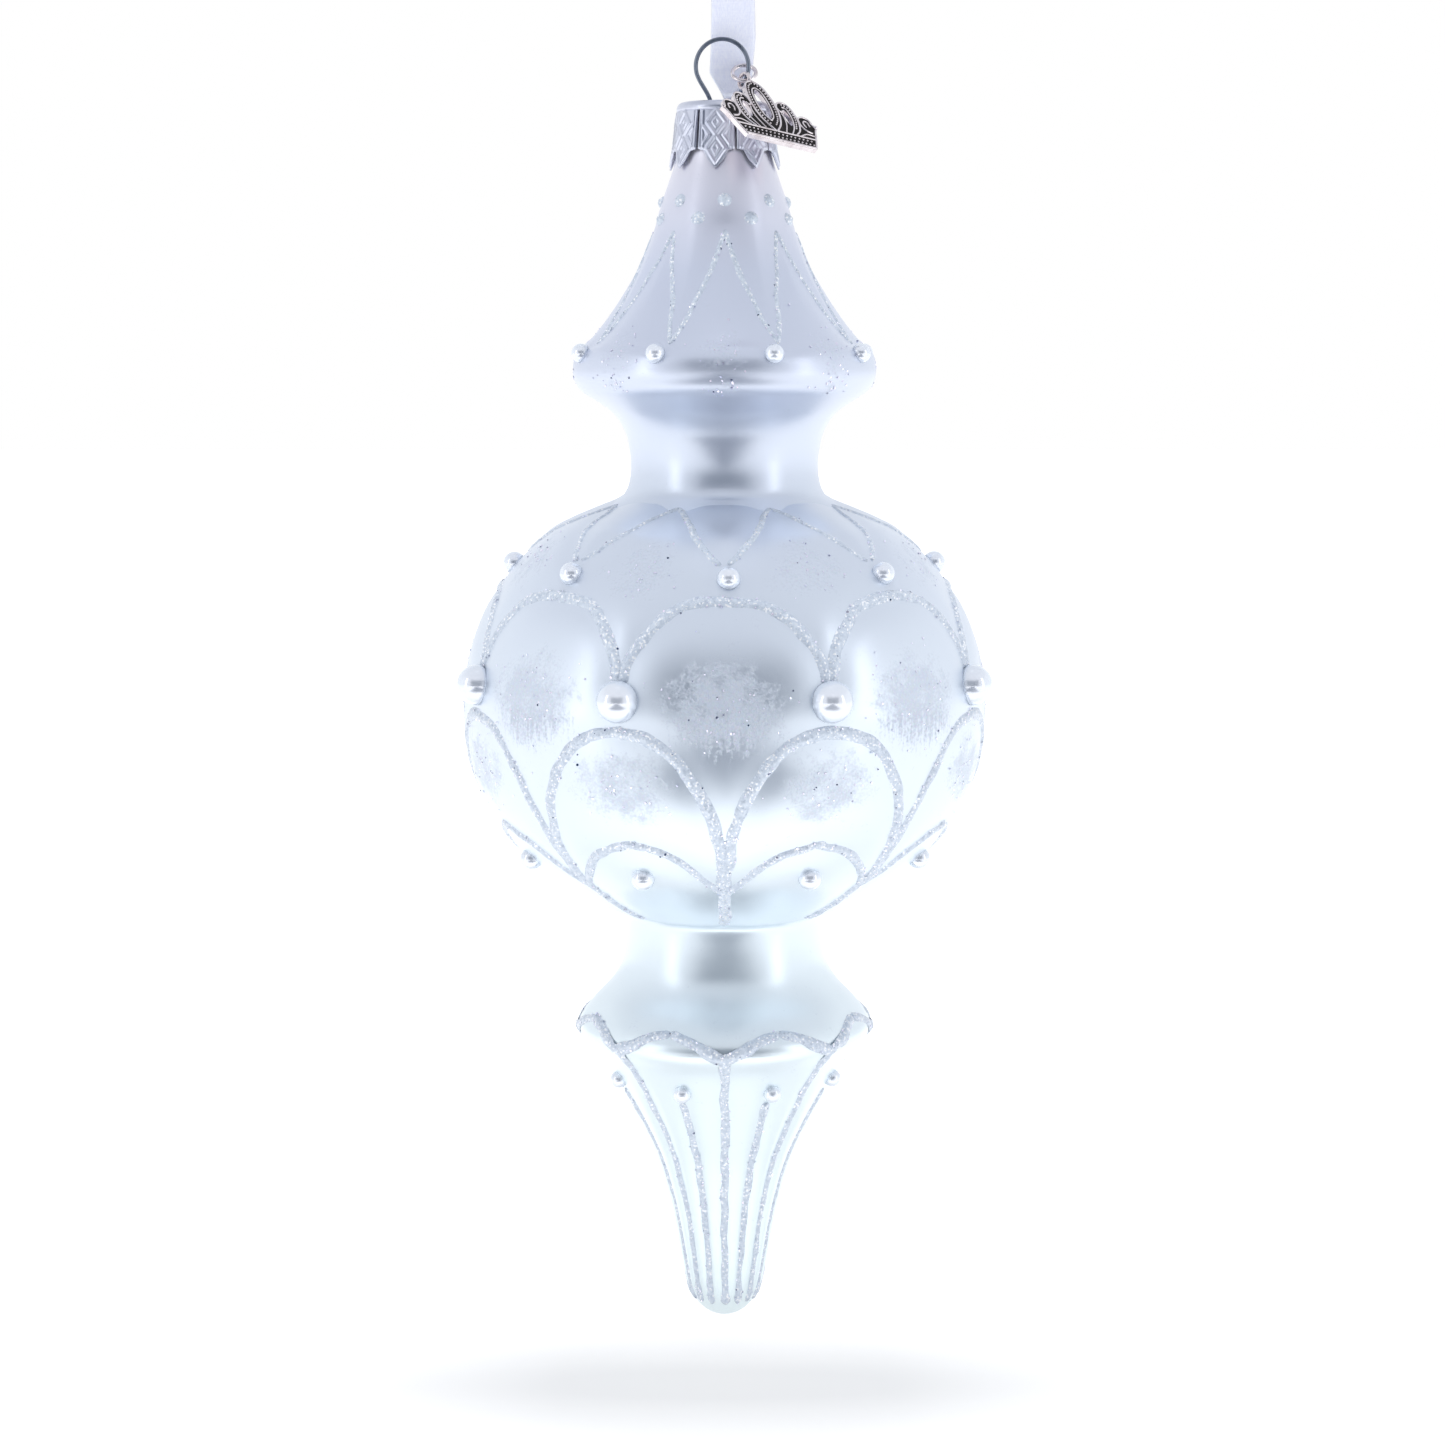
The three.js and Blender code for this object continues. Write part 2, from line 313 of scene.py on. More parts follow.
def lacquered_glass():
    m = new_material("lacquered_glass")
    height = m.split(m.place)["Z"]
    # The lacquer's own tint runs from pale cyan at the tip to lavender at the top; painted light also
    # makes it paler towards the bottom and darker towards the top.
    up = m.range(height, TIP, TIP + 0.17)
    cloud = m.uneven(28.0, -0.06, 0.06, 4.0)
    tint_and_painted_light = m.mix(m.maths("ADD", up, cloud, clamp=True), srgb(238, 250, 252), srgb(206, 212, 230))
    tint_and_painted_light = m.mix(m.range(height, TIP + 0.157, TIP + 0.176), tint_and_painted_light, srgb(226, 224, 234))
    frost = m.add("ShaderNodeAttribute", attribute_name="frost").outputs["Fac"]
    combed = m.add("ShaderNodeAttribute", attribute_name="combed").outputs["Fac"]
    streaks = m.noise(2400.0, 2.0, (1, 1, 0.16))
    blotches = m.noise(420.0, 4.0)
    grains = m.noise(2600.0, 2.0)
    patchy = m.mix(combed, blotches, streaks)
    edge = m.maths("ADD", m.maths("MULTIPLY", patchy, 1.5), m.maths("MULTIPLY", grains, 1.4))
    mask = m.range(m.maths("SUBTRACT", frost, edge), -1.1, -0.5, 0.0, m.range(combed, 0, 1, 0.6, 0.9))
    sparkle = m.mix(0.35, srgb(176, 188, 206), m.cells(3800.0))
    pale = m.mix(0.8, sparkle, srgb(198, 206, 220))
    smudge = m.range(m.noise(70.0, 5.0), 0.35, 0.75, 0.30, 0.37)
    micro = m.bump(m.noise(450.0, 3.0), 0.00002, 0.5)
    rough_skin = m.bump(grains, 0.00012, mask, micro)
    m.set(
        Base_Color=m.mix(mask, tint_and_painted_light, pale),
        Roughness=m.maths("MULTIPLY_ADD", mask, 0.33, smudge),
        Metallic=m.maths("MULTIPLY_ADD", mask, -0.6, 0.7),
        Coat_Weight=0.15,
        Coat_Roughness=0.3,
        Normal=rough_skin,
    )
    return m.owner


def glitter_glue():
    m = new_material("glitter_glue")
    grain = m.noise(1500.0, 3.0)
    sparks = m.add("ShaderNodeSeparateColor", {0: m.cells(4200.0)}).outputs[1]
    bright = m.range(sparks, 0.86, 0.9)
    dull = m.mix(m.range(grain, 0.3, 0.7), srgb(188, 199, 214), srgb(213, 222, 233))
    m.set(
        Base_Color=m.mix(bright, dull, srgb(250, 252, 255)),
        Roughness=m.range(sparks, 0.0, 1.0, 0.5, 0.22),
        Metallic=0.15,
        Coat_Weight=0.3,
        Coat_Roughness=0.2,
        Normal=m.bump(grain, 0.0001, 0.6, m.facets(3600.0, 0.55)),
    )
    return m.owner


def glitter_flake():
    m = new_material("glitter_flake")
    hue = m.mix(m.noise(900.0, 1.0), srgb(222, 236, 255), srgb(255, 238, 250))
    m.set(Base_Color=hue, Metallic=1.0, Roughness=m.uneven(3000.0, 0.08, 0.2))
    return m.owner


def pearl_coat():
    m = new_material("pearl_coat")
    # Painted sheen: the colour turns a little darker towards the pearl's edges as seen, with a random
    # swirl on top.
    painted_edge_sheen = m.add("ShaderNodeLayerWeight", {"Blend": 0.35}).outputs["Facing"]
    sheen_and_swirl = m.maths("ADD", painted_edge_sheen, m.uneven(500.0, -0.1, 0.1), clamp=True)
    m.set(
        Base_Color=m.mix(sheen_and_swirl, srgb(236, 240, 248), srgb(220, 231, 242)),
        Metallic=0.5,
        Roughness=m.uneven(1800.0, 0.14, 0.2),
        Coat_Weight=0.8,
        Coat_Roughness=0.07,
        Normal=m.bump(m.noise(1400.0), 0.00001, 0.4),
    )
    return m.owner


def stamped_tin():
    m = new_material("stamped_tin")
    smears = m.noise(260.0, 5.0, (1, 1, 0.15))
    m.set(
        Base_Color=m.mix(m.range(smears, 0.3, 0.7), srgb(198, 202, 217), srgb(226, 229, 240)),
        Metallic=1.0,
        Roughness=m.uneven(900.0, 0.28, 0.42, 4.0),
        Normal=m.bump(m.noise(1600.0, 3.0), 0.00003, 0.5),
    )
    return m.owner


def drawn_wire():
    m = new_material("drawn_wire")
    streak = m.noise(1200.0, 3.0, (1, 1, 0.1))
    m.set(
        Base_Color=m.mix(streak, srgb(92, 100, 114), srgb(140, 148, 162)),
        Metallic=1.0,
        Roughness=m.range(streak, 0.3, 0.7, 0.25, 0.4),
        Normal=m.bump(streak, 0.00001, 0.5),
    )
    return m.owner


def antiqued_silver():
    m = new_material("antiqued_silver")
    wear = m.range(m.noise(700.0, 4.0), 0.35, 0.7)
    m.set(
        Base_Color=m.mix(wear, srgb(238, 232, 234), srgb(206, 196, 198)),
        Metallic=1.0,
        Roughness=m.uneven(1500.0, 0.16, 0.26),
        Normal=m.bump(m.noise(2200.0, 2.0), 0.000008, 0.4),
    )
    return m.owner


def black_patina():
    m = new_material("black_patina")
    worn = m.range(m.noise(1300.0, 4.0), 0.6, 0.85)
    m.set(
        Base_Color=m.mix(worn, srgb(22, 18, 20), srgb(80, 70, 72)),
        Metallic=0.8,
        Roughness=m.range(worn, 0.0, 1.0, 0.6, 0.4),
        Normal=m.bump(m.noise(2400.0, 3.0), 0.00004, 0.6),
    )
    return m.owner


def satin():
    m = new_material("satin")
    warp = m.noise(6500.0, 2.0, (1, 1, 0.05))
    weft = m.noise(6500.0, 2.0, (0.06, 0.06, 1))
    threads = m.maths("MULTIPLY_ADD", warp, 0.7, m.maths("MULTIPLY", weft, 0.3))
    shade = m.range(threads, 0.35, 0.65)
    m.set(
        Base_Color=m.mix(shade, srgb(228, 232, 250), srgb(240, 243, 255)),
        Roughness=m.range(threads, 0.3, 0.7, 0.36, 0.5),
        Sheen_Weight=0.5,
        Sheen_Roughness=0.35,
        Specular_IOR_Level=0.6,
        Normal=m.bump(threads, 0.00002, 0.6),
    )
    return m.owner


# Painted shadow: the floor glows least in an oval under the object, around the overhead lamp's real
# shadow; the oval is wide from side to side: X counts for less than Y.
PAINTED_SHADOW_OVAL = (0.22, 1, 0)


def glowing_floor_painted_shadow():
    """The floor: it glows a little to stay white, glows least right under the object as a painted shadow,
    and glows more in front of it as a painted pool of light.
    """
    m = new_material("glowing_floor_painted_shadow")
    away = m.length(m.place)
    depth = m.split(m.place)["Y"]
    oval = m.add("ShaderNodeVectorMath", {0: m.place, 1: PAINTED_SHADOW_OVAL}, operation="MULTIPLY")
    # Painted shadow: the glow rises away from the oval, so the floor is darkest right under the object.
    glow_round_painted_shadow = m.range(m.length(oval.outputs["Vector"]), 0.006, 0.036, 0.0, 0.32)
    # Painted light: a brighter glow on the floor in front of the object, which the glass's lower parts
    # mirror.
    in_front = m.range(depth, -0.07, -0.03, 0.5, 0.0)
    painted_light_pool = m.maths("MULTIPLY", in_front, m.range(away, 0.16, 0.3, 1, 0))
    everywhere = m.range(away, 0.24, 0.7, 0.36, 0.42)
    m.set(
        Base_Color=srgb(198, 198, 198),
        Roughness=0.9,
        Emission_Color=(1, 1, 1, 1),
        Emission_Strength=m.maths("ADD", m.maths("ADD", painted_light_pool, glow_round_painted_shadow), everywhere),
    )
    return m.owner


def dark_reflection_card():
    """A dark card with soft edges, seen only in reflections: a painted dark reflection."""
    m = new_material("dark_reflection_card")
    place = m.split(m.place)
    across = m.range(m.maths("ABSOLUTE", place["X"]), 0.11, 0.20, 1, 0)
    along = m.range(place["Y"], -0.2, -0.13, 1, 0)
    m.set(Base_Color=srgb(40, 62, 92), Roughness=0.9, Alpha=m.maths("MULTIPLY", across, along))
    return m.owner


GLASS = lacquered_glass()
GLUE = glitter_glue()
FLAKE = glitter_flake()
PEARL = pearl_coat()
TIN = stamped_tin()
WIRE = drawn_wire()
SILVER = antiqued_silver()
PATINA = black_patina()
SATIN = satin()

# ---- ribbon
# The route of part.mjs, in metres: down from the knot, round the wire's right leg, and back up.
# Its two ends go 2 mm further than there, into the knot.
RIBBON_ROUTE = [
    (0.0001, -0.0006, -0.001), (0.0005, -0.001, -0.0045), (0.0012, -0.0007, -0.009),
    (0.0012, 0.0004, -0.0135), (0.0011, 0.0015, -0.017), (0.00095, 0.00195, -0.0195),
    (0.0007, 0.0016, -0.0213), (0.0006, 0.0006, -0.0228), (0.0008, -0.0006, -0.0231),
    (0.0017, -0.0015, -0.0231), (0.0029, -0.00135, -0.0231), (0.0036, -0.0004, -0.02305),
    (0.0036, 0.0008, -0.0226), (0.0031, 0.0023, -0.0208), (0.0023, 0.0032, -0.018),
    (0.0015, 0.0029, -0.0135), (0.0012, 0.0018, -0.009), (0.0006, 0.0012, -0.0045),
    (0.0001, 0.0006, -0.001),
]
SATIN_THICK = 0.28
FULL_WIDTH = 6.3
AT_WIRE_WIDTH = 1.3
AT_KNOT_WIDTH = 2.4
GATHERED_THICK = 0.8
# Between these heights it opens out above the wire, and closes again below the knot.
OPENS = (181.6, 185.6)
CLOSES = (196, 202)


def ribbon_section(half_width, thick, cup, points=9):
    """A thin strip, a little cupped and with rounded selvedges, as (side, up) pairs."""
    top = []
    for k in range(points):
        x = math.cos(math.pi * k / (points - 1))
        selvedge = 1.25 if k in (1, points - 2) else 0.12 if k in (0, points - 1) else 1
        top.append((half_width * x, thick * selvedge / 2, cup * (x * x - 0.4)))
    upper = [(x, t + c) for x, t, c in top]
    lower = [(x, c - t) for x, t, c in reversed(top[1:-1])]
    return upper + lower


def ribbon_gather(point):
    """How wide, thick and cupped the ribbon is: it is gathered at the knot and at the wire."""
    height = (point.z - TIP) / MM
    opened = min(smoothstep(height, *OPENS), 1 - smoothstep(height, *CLOSES))
    narrow = AT_WIRE_WIDTH if height < 190 else AT_KNOT_WIDTH
    width = (narrow + (FULL_WIDTH - narrow) * opened) * MM
    thick = (GATHERED_THICK + (SATIN_THICK - GATHERED_THICK) * opened) * MM
    width *= 1 - 0.6 * smoothstep(point.x / MM, 1.3, 3.0)
    return width, thick, 0.25 * MM * opened


def add_ribbon():
    line = spaced(curve_through(RIBBON_ROUTE, 24), 0.2 * MM)
    length = sum((b - a).length for a, b in zip(line, line[1:]))

    def section(i):
        width, thick, cup = ribbon_gather(line[i])
        crease = 1 + 0.06 * noise.noise(line[i] * 700)
        return ribbon_section(width / 2, thick, cup * crease)

    vertices, faces = sweep(line, section)
    ribbon = new_piece("ribbon_satin_loop", vertices, faces, SATIN, None, "ribbon")
    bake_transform(ribbon)
    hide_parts("ribbon_loop")
    return ribbon, length


KNOT_HALF = Vector((3.0, 2.1, 2.3)) * MM
KNOT_TURNS = 1.75
COIL_STEPS = 90
CORE_STEPS = 24
# One cut tail of the knot; the other is its half turn.
KNOT_TAIL = [(0.2, 0.3, 1.0), (0.7, 0.8, 3.2), (1.5, 1.4, 5.4), (1.9, 1.5, 8.2)]


def knot_coil():
    """The band of ribbon that is wound round the two strands."""
    coil = []
    for i in range(COIL_STEPS + 1):
        angle = 2 * math.pi * KNOT_TURNS * i / COIL_STEPS - 0.6
        rise = (i / COIL_STEPS - 0.5) * 2.6 * MM
        x = 0.78 * KNOT_HALF.x * math.cos(angle)
        coil.append(Vector((x, 0.74 * KNOT_HALF.y * math.sin(angle), rise)))

    def band(i):
        width = (3.1 - 1.2 * abs(i / COIL_STEPS - 0.5)) * MM
        fold = 0.12 * math.sin(i * 0.9) + 0.2 * noise.noise(coil[i] * 900)
        return [(b, a) for a, b in ribbon_section(width / 2, 0.62 * MM, fold * MM)]

    return sweep(coil, band)


def knot_core():
    """The pleated strands inside the knot."""
    core = [Vector((0, 0, (i / CORE_STEPS - 0.5) * 2 * KNOT_HALF.z)) for i in range(CORE_STEPS + 1)]

    def bundle(i):
        swell = math.sqrt(max(1 - ((i / CORE_STEPS - 0.5) * 1.9) ** 2, 0.05))
        section = []
        for angle in turns_round(28):
            pleat = swell * (1 + 0.13 * math.cos(7 * angle))
            section.append((0.66 * KNOT_HALF.x * pleat * math.cos(angle),
                            0.6 * KNOT_HALF.y * pleat * math.sin(angle)))
        return section

    return sweep(core, bundle)


def knot_tail(side):
    tail = curve_through([Vector((side * x, side * y, z)) * MM for x, y, z in KNOT_TAIL], 12)

    def strip(i):
        opened = smoothstep(i / (len(tail) - 1), 0, 0.55)
        width = (2.2 + 3.4 * opened) * MM
        return ribbon_section(width / 2, SATIN_THICK * MM, 0.5 * MM * math.sin(i * 0.16 + side))

    return sweep(tail, strip)


def add_knot():
    """The overhand knot: a band wound round the two strands, and two cut tails."""
    shape = Gathered()
    for piece in (knot_coil(), knot_core(), knot_tail(-1), knot_tail(1)):
        shape.add(*piece)
    knot = new_piece("ribbon_knot_tied", shape.vertices, shape.faces, SATIN, "knot", "ribbon")
    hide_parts("ribbon_knot")
    return knot


ribbon, ribbon_length = add_ribbon()
knot = add_knot()


# ---- glass surface
def cad_outline():
    """The outside of the CAD glass as rising (height, radius) pairs in millimetres."""
    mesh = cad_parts["glass_body"].data
    widest = {}
    for face in mesh.polygons:
        if face.normal.x * face.center.x + face.normal.y * face.center.y <= 0:
            continue
        for index in face.vertices:
            corner = mesh.vertices[index].co
            height = round((corner.z - TIP) / MM, 2)
            radius = math.hypot(corner.x, corner.y) / MM
            widest[height] = max(widest.get(height, 0), radius)
    return sorted(widest.items())


OUTLINE = curve_through([(h, r, 0) for h, r in cad_outline()], 5)
HEIGHTS = np.array([p.x for p in OUTLINE])
RADII = np.array([p.y for p in OUTLINE])


def radius_at(height):
    return float(np.interp(height, HEIGHTS, RADII))


def on_glass(turn, height, lift=0.0):
    """A point on the glass and the way its surface faces there."""
    slope = (radius_at(height + 0.15) - radius_at(height - 0.15)) / 0.3
    angle = math.radians(turn)
    outward = Vector((math.sin(angle), -math.cos(angle), -slope)).normalized()
    radius = radius_at(height)
    at = above_tip(radius * math.sin(angle), -radius * math.cos(angle), height)
    return at + outward * lift * MM, outward


# Depths and reaches are in millimetres. The glitter lines above GROOVES_FROM lie in soft grooves.
GROOVE = 0.27
GROOVE_REACH = 2.5
GROOVES_FROM = 45
FLUTES = 16
FLUTE_DEPTH = 0.42


def flute_sink(turn, height):
    """How far a flute of the drop sinks in: the flutes fade out under its rim and at its tip."""
    deep = FLUTE_DEPTH * smoothstep(height, 1, 9) * (1 - smoothstep(height, 30, 43))
    return deep * abs(math.cos(math.radians(turn) * FLUTES / 2)) ** 3


def in_groove(turn, height):
    """A place at the bottom of a glitter line's groove or flute, and the glass's outward direction."""
    groove = 0.9 * GROOVE if height > GROOVES_FROM else 0
    return on_glass(turn, height, -groove - flute_sink(turn, height))


# ---- glitter lines
LINE_HEIGHT = 0.4
# Each line is half of a figure that repeats eight times: its name, width and height, whether its
# figures stand between the front ones, and its places as [turn, height] from the figure's middle.
LINES = [
    ("cone_zigzag", 0.85, 0.18, False,
     [[0, 162.6], [5.5, 159.5], [10.5, 156.3], [15.5, 152.6], [19.5, 149.2], [22.5, 146.7]]),
    ("neck_scallops", 1.1, 0.22, False,
     [[1.0, 116.4], [4, 117.6], [8, 119.4], [12.5, 121.2], [17, 122.6], [22.5, 123.5]]),
    ("upper_arches", 2.0, LINE_HEIGHT, False,
     [[-1.4, 111.6], [0, 111.6], [6.5, 111.3], [12.3, 110.2], [16.8, 107.8], [19.9, 105],
      [21.4, 102.4], [22.0, 100.4]]),
    ("petals", 2.0, LINE_HEIGHT, True,
     [[-1.4, 93.7], [0, 93.7], [6.5, 92.9], [11, 91.1], [14.8, 88.1], [18.3, 84], [20.4, 80],
      [21.7, 75.8], [22.3, 71], [22.5, 66.5], [22.5, 63.2]]),
    ("little_arches", 1.55, LINE_HEIGHT, True,
     [[-1.6, 77.3], [0, 77.3], [5, 76.6], [10, 75.4], [15, 73.2], [19.5, 70.9], [22.3, 69.5]]),
    ("rim_scallops", 1.8, LINE_HEIGHT, False,
     [[-2.8, 44.5], [0, 44.5], [6, 45.4], [13, 46.9], [22.5, 47.9]]),
    ("long_stems", 1.65, LINE_HEIGHT, False,
     [[0, 45], [0, 40], [0, 34], [0, 26], [0, 18], [0, 10], [0, 2.8]]),
    ("short_stems", 1.5, LINE_HEIGHT, True,
     [[0, 36.4], [0, 32], [0, 26], [0, 18], [0, 10], [0, 2.8]]),
]
LINE_STEP = 0.5
LINE_ACROSS = 9
EDGE_DIP = 0.06


def line_routes():
    """Every glitter line as (width, raised, [(turn, height), ...]), its points evenly spaced."""
    routes = []
    for name, width, raised, between, points in LINES:
        dense = curve_through([(t, h, 0) for t, h in points], 40)
        sides = (1,) if name.endswith("stems") else (1, -1)
        for sector in range(SECTORS):
            middle = (sector + 0.5 * between) * SECTOR
            for side in sides:
                placed = [on_glass(middle + side * p.x, p.y)[0] for p in dense]
                spread = [0]
                for a, b in zip(placed, placed[1:]):
                    spread.append(spread[-1] + (b - a).length / MM)
                count = max(int(spread[-1] / LINE_STEP), 3)
                want = np.linspace(0, spread[-1], count)
                turns = np.interp(want, spread, [middle + side * p.x for p in dense])
                heights = np.interp(want, spread, [p.y for p in dense])
                routes.append((width, raised, list(zip(turns, heights))))
    return routes


ROUTES = line_routes()


def wander(turn, height):
    """A little hand-drawn unevenness, in millimetres, that is the same each run."""
    at = on_glass(turn, height)[0]
    return 0.32 * noise.noise(at * 260), 1 + 0.28 * noise.noise(at * 420 + Vector((7, 3, 1)))


def add_lines():
    """Each line is a low, rounded and grainy ridge whose edges dip just into the glass."""
    shape = Gathered()
    for width, raised, route in ROUTES:
        count = len(route)
        points = [in_groove(t, h) for t, h in route]
        vertices = []
        for i, (at, outward) in enumerate(points):
            before = points[max(i - 1, 0)][0]
            after = points[min(i + 1, count - 1)][0]
            along = (after - before).normalized()
            side = outward.cross(along).normalized()
            shift, swell = wander(*route[i])
            end = min(i, count - 1 - i)
            round_off = math.sqrt(1 - (1 - min((end + 0.3) / 1.8, 1)) ** 2)
            half = width / 2 * swell * round_off
            tall = raised * swell * round_off
            for k in range(LINE_ACROSS):
                angle = math.pi * k / (LINE_ACROSS - 1)
                grain = 1 + 0.12 * noise.noise(at * 2200 + side * k)
                lift = (tall + EDGE_DIP) * math.sin(angle) ** 3 * grain - EDGE_DIP
                offset = side * ((shift + half * math.cos(angle)) * MM)
                vertices.append(at + offset + outward * lift * MM)
        shape.add(vertices, rings_to_faces(count, LINE_ACROSS))
    new_piece("glitter_lines", shape.vertices, shape.faces, GLUE, "glass", "lacquered_glass")


# First turn and height of each row.
DOT_ROWS = [(0, 166.9), (SECTOR / 2, 164.3)]
DOT_RADIUS = 1.1
DOT_RINGS = 6
DOT_SIDES = 16


def add_dots():
    shape = Gathered()
    for first, height in DOT_ROWS:
        for sector in range(SECTORS):
            at, outward = on_glass(first + sector * SECTOR, height, -0.1)
            turn = outward.to_track_quat("Z", "Y").to_matrix()
            vertices = []
            for ring in range(DOT_RINGS):
                tall = ring / DOT_RINGS * math.pi / 2
                for angle in turns_round(DOT_SIDES):
                    x = math.cos(angle)
                    y = math.sin(angle)
                    lump = 1 + 0.1 * noise.noise(at * 900 + Vector((x, y, ring)))
                    flat = math.cos(tall)
                    local = Vector((flat * x, flat * y, 0.62 * math.sin(tall) ** 2.5))
                    vertices.append(at + turn @ local * DOT_RADIUS * lump * MM)
            shape.add(vertices, rings_to_faces(DOT_RINGS, DOT_SIDES))
    new_piece("glitter_dots", shape.vertices, shape.faces, GLUE, "glass", "lacquered_glass")


# ---- frosted patches
# Middle turn, middle height, half width in degrees, half height, strength; repeated eight times.
PATCHES = [
    (0, 97.4, 16.0, 8.2, 1.0),
    (SECTOR / 2, 86.0, 14.5, 6.4, 0.85),
    (SECTOR / 2, 115.5, 13, 4.8, 0.6),
    (0, 145.0, 12, 4.2, 0.55),
    (0, 140.8, 9, 1.8, 0.45),
]


def frost_at(turn, height):
    """How frosted the glass is, and how far the brush combed the frost's lower edge downwards."""
    best = combed = 0
    for k, (middle, level, half_turn, half_height, strength) in enumerate(PATCHES):
        off = (turn - middle + SECTOR / 2) % SECTOR - SECTOR / 2
        away = math.hypot(off / half_turn, (height - level) / half_height)
        frost = strength * (1 - away**2)
        if frost > best:
            best = frost
            combed = 0 if k else smoothstep(level - height, 0, 0.45 * half_height)
    return best, combed


# ---- glass body
COLUMNS = 240
OUTSIDE_ROWS = 300
INSIDE_ROWS = 40
WALL = 1.0
WALL_STARTS = 3


def add_glass():
    """The glass, grooved under its glitter lines, with its inner wall and its two frost layers."""
    lines = KDTree(sum(len(route) for *_, route in ROUTES))
    index = 0
    for *_, route in ROUTES:
        for turn, height in route:
            if height > GROOVES_FROM:
                lines.insert(on_glass(turn, height)[0], index)
            index += 1
    lines.balance()
    step = (HEIGHTS[-1] - HEIGHTS[0]) / OUTSIDE_ROWS
    rows = [0.0]
    for height, radius in zip(HEIGHTS[1:], RADII[1:]):
        last = rows[-1]
        if math.hypot(height - last, radius - radius_at(last)) > step or height == HEIGHTS[-1]:
            rows.append(float(height))
    rows[0] = 0.02
    vertices = []
    frost = []
    for height in rows:
        for k in range(COLUMNS):
            turn = 360 * k / COLUMNS
            at, outward = on_glass(turn, height)
            distance = lines.find(at)[2] / MM
            sink = GROOVE * math.exp(-((distance / GROOVE_REACH) ** 2))
            sink += flute_sink(turn, height)
            vertices.append(at - outward * sink * MM)
            frost.append(frost_at(turn, height))
    top = rows[-1]
    for height in np.linspace(top, WALL_STARTS, INSIDE_ROWS):
        for k in range(COLUMNS):
            at, outward = on_glass(360 * k / COLUMNS, float(height))
            inward = Vector((outward.x, outward.y, 0)) if height == top else outward
            vertices.append(at - inward.normalized() * WALL * MM)
            frost.append((0, 0))
    faces = rings_to_faces(len(rows) + INSIDE_ROWS, COLUMNS)
    glass = new_piece("glass_silvered", vertices, faces, GLASS, "glass", "lacquered_glass")
    for k, name in enumerate(("frost", "combed")):
        attribute = glass.data.attributes.new(name, "FLOAT", "POINT")
        attribute.data.foreach_set("value", [pair[k] for pair in frost])
    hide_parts("glass_body")


# ---- loose glitter
FLAKES_PER_MM = 1.1
FLAKES_PER_PATCH = 42
FLAKE_RADIUS = (0.09, 0.2)
FLAKE_LEAN = 0.6
dice = random.Random(11)


def flake(at, outward):
    """A thin six-sided chip that leans at random off the surface."""
    lean = Vector([dice.uniform(-1, 1) for _ in range(3)]) * FLAKE_LEAN
    turn = (outward + lean).normalized().to_track_quat("Z", "Y").to_matrix()
    radius = dice.uniform(*FLAKE_RADIUS) * MM
    spin = dice.uniform(0, math.pi)
    vertices = []
    for level in (-0.02, 0.02):
        for k in range(6):
            angle = spin + math.pi * k / 3
            local = Vector((radius * math.cos(angle), radius * math.sin(angle), level * MM))
            vertices.append(at + turn @ local)
    return vertices, rings_to_faces(2, 6)


def add_flakes():
    """Loose chips of glitter on the lines, and scattered over the frosted patches."""
    shape = Gathered()
    for width, raised, route in ROUTES:
        for _ in range(int(len(route) * LINE_STEP * FLAKES_PER_MM)):
            k = dice.randrange(len(route) - 1)
            share = dice.random()
            turn = route[k][0] + share * (route[k + 1][0] - route[k][0])
            height = route[k][1] + share * (route[k + 1][1] - route[k][1])
            off = dice.uniform(-0.45, 0.45) * width
            at, outward = in_groove(turn, height)
            nearby = on_glass(route[k + 1][0], route[k + 1][1])[0]
            side = outward.cross(nearby - at).normalized()
            shift, swell = wander(turn, height)
            lift = raised * swell * math.sqrt(max(1 - (2 * off / width) ** 2, 0)) - 0.1
            shape.add(*flake(at + side * ((shift + off) * MM) + outward * lift * MM, outward))
    for middle, level, half_turn, half_height, strength in PATCHES:
        for sector in range(SECTORS):
            for _ in range(int(FLAKES_PER_PATCH * strength)):
                turn = middle + sector * SECTOR + dice.gauss(0, 0.45) * half_turn
                height = level + dice.gauss(0, 0.45) * half_height
                shape.add(*flake(*on_glass(turn, height, 0.03)))
    new_piece("glitter_flakes", shape.vertices, shape.faces, FLAKE, "glass", "lacquered_glass", False)


# ---- pearls
PEARL_FOOT = 0.35
PEARL_LIFT = 0.12


def pearl_mesh(radius, rings=9, sides=28):
    """A half dome on a short straight foot that goes PEARL_FOOT below the plane z = 0."""
    levels = [(radius, -PEARL_FOOT * MM)]
    for ring in range(rings):
        tall = ring / rings * math.pi / 2
        levels.append((radius * math.cos(tall), radius * math.sin(tall)))
    vertices = [Vector((x, y, z)) for wide, z in levels for x, y in round_section(wide, sides)]
    vertices.append(Vector((0, 0, radius)))
    faces = rings_to_faces(rings + 1, sides)[:-1]
    last = rings * sides
    faces += [(last + k, last + (k + 1) % sides, len(vertices) - 1) for k in range(sides)]
    return vertices, faces


def closest_seat(turn, point):
    """The height on the glass straight under a point beside it."""
    return min((float(h) for h in HEIGHTS), key=lambda h: (on_glass(turn, h)[0] - point).length)


